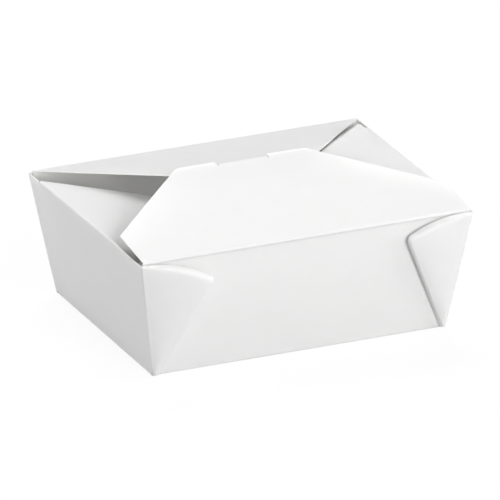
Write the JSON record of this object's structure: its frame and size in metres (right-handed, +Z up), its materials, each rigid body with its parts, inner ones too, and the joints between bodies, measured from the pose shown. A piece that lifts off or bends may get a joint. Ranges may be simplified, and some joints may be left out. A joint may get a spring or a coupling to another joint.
{
  "type": "takeout food box",
  "caption": "White folded paperboard takeout box with flared walls, webbed corners and a locking top flap that hinges open.",
  "frame": {"origin": "middle of the underside, on the surface that the box stands on", "axes": "+X along the long front and back walls, +Y from the front wall to the back wall, +Z up"},
  "size_m": [0.1794, 0.1394, 0.0752],
  "materials": {
    "paperboard": "matte coated white board"
  },
  "bodies": {
    "carton": {"carton": "paperboard"},
    "front_flap": {"front_flap": "paperboard"}
  },
  "joints": [
    {"name": "front_flap_crease", "type": "hinge", "parent": "carton", "child": "front_flap", "pos_m": [0, -0.06697, 0.06379], "axis": [1, 0, 0], "range_deg": [0, 180]}
  ]
}
